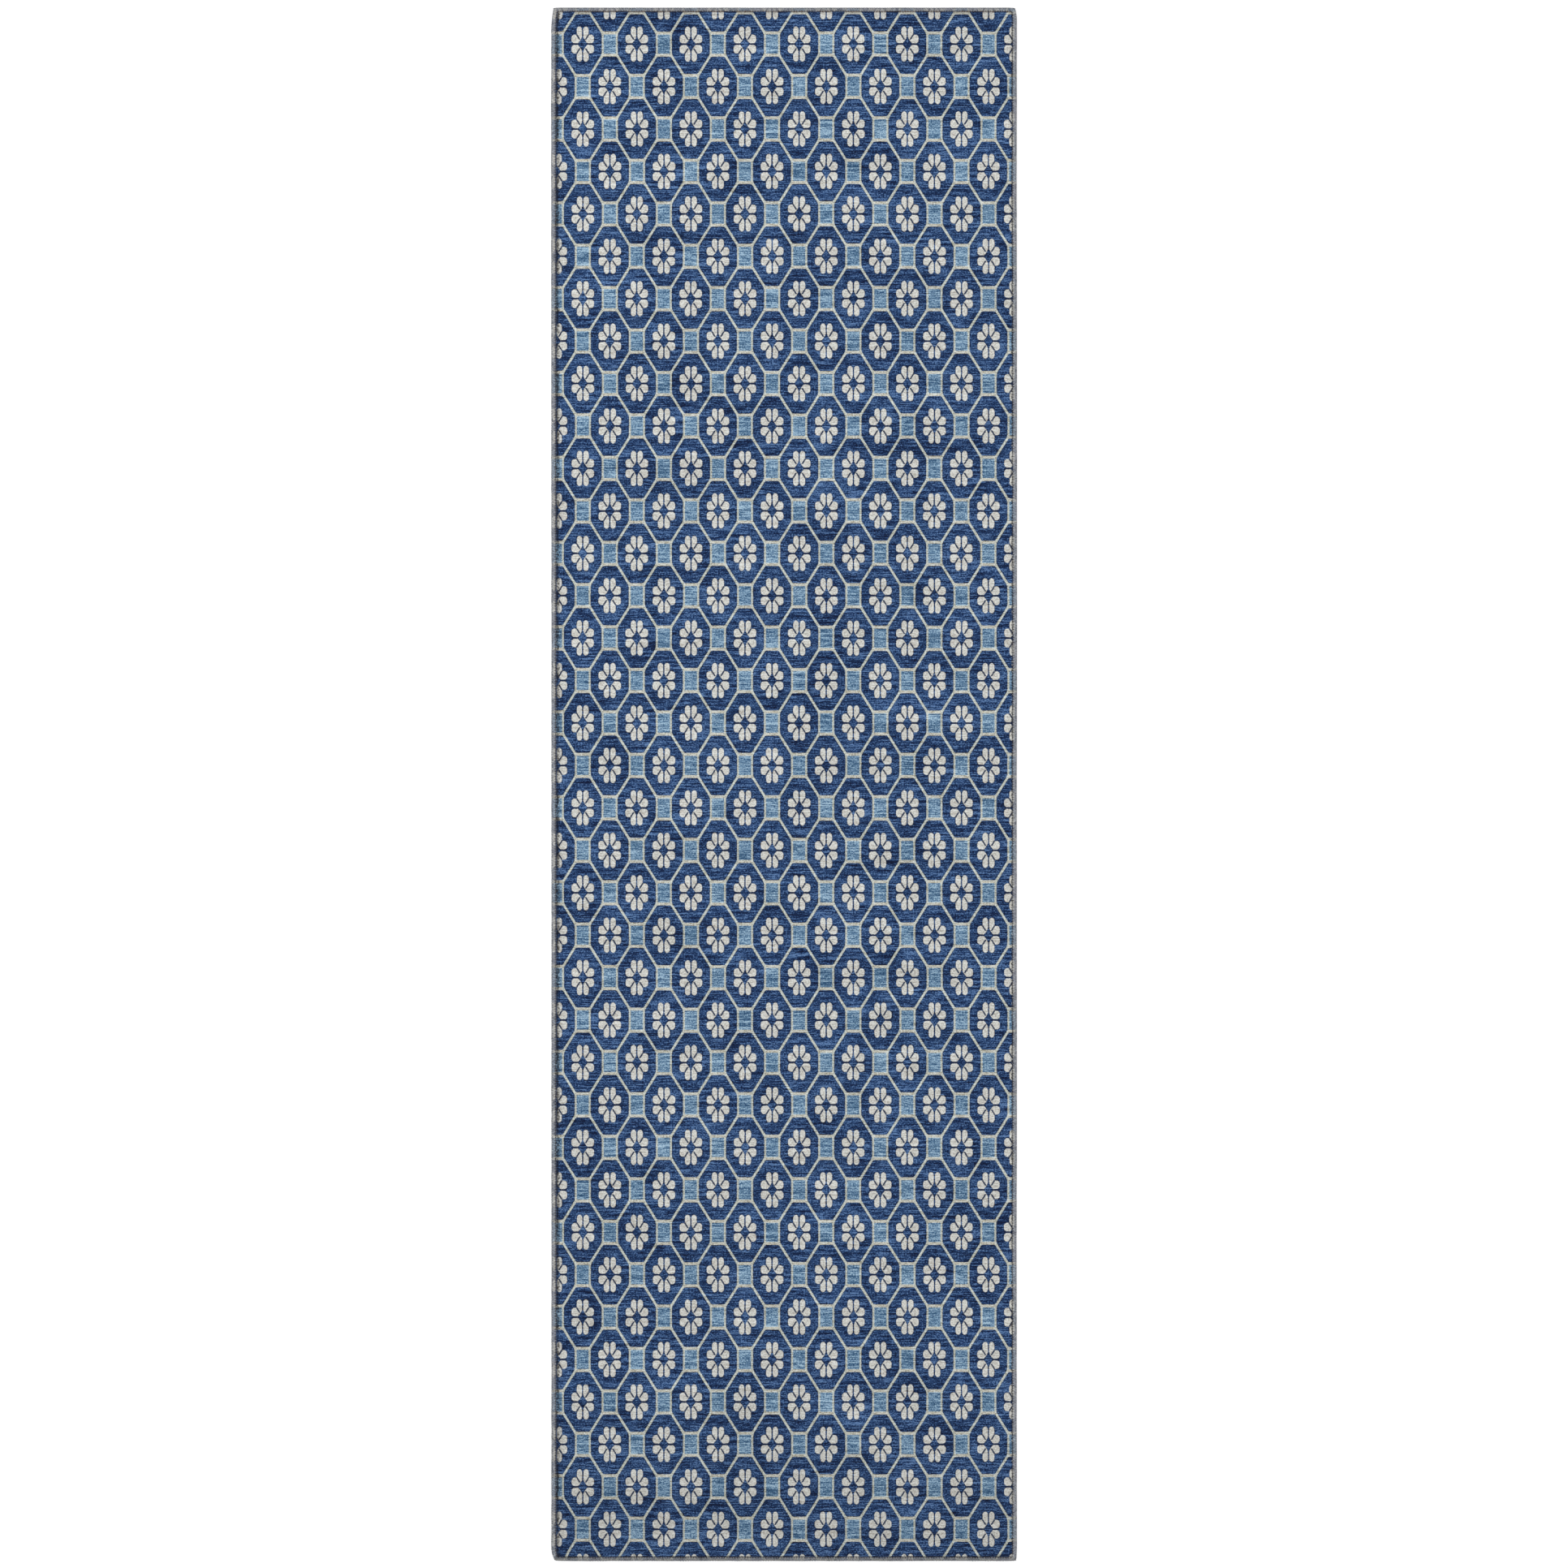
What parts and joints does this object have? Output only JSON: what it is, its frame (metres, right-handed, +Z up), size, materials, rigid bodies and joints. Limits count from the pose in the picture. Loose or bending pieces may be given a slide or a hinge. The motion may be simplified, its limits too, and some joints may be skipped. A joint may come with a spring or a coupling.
{
  "type": "runner rug",
  "caption": "Long narrow rug with a short printed pile, a laminated non-slip backing and overlocked edges, for laying flat on a floor",
  "frame": {"origin": "On the floor under the middle of the rug", "axes": "+Y along the length towards the head end, +X to the right across the width, +Z up"},
  "size_m": [0.6858, 2.286, 0.0055],
  "materials": {
    "printed_pile": "short dense polyester pile with a printed pattern, matt",
    "ground_cloth": "plain woven polyester cloth",
    "bond_film": "thin flexible hot-melt film",
    "cushion_felt": "needled felt",
    "grip_backing": "soft moulded non-slip rubber",
    "edge_yarn": "bulky textured polyester yarn",
    "seam_thread": "spun polyester sewing thread",
    "label_cloth": "satin-woven label ribbon, blank"
  },
  "bodies": {
    "root": {"pile_face": "printed_pile", "ground_weave": "ground_cloth", "upper_bond_film": "bond_film", "cushion_felt": "cushion_felt", "lower_bond_film": "bond_film", "nonslip_backing": "grip_backing", "upper_looper_yarn_left": "edge_yarn", "upper_looper_yarn_right": "edge_yarn", "upper_looper_yarn_head": "edge_yarn", "upper_looper_yarn_foot": "edge_yarn", "lower_looper_yarn_left": "edge_yarn", "lower_looper_yarn_right": "edge_yarn", "lower_looper_yarn_head": "edge_yarn", "lower_looper_yarn_foot": "edge_yarn", "needle_thread_left": "seam_thread", "needle_thread_right": "seam_thread", "needle_thread_head": "seam_thread", "needle_thread_foot": "seam_thread", "care_label": "label_cloth"}
  },
  "joints": []
}
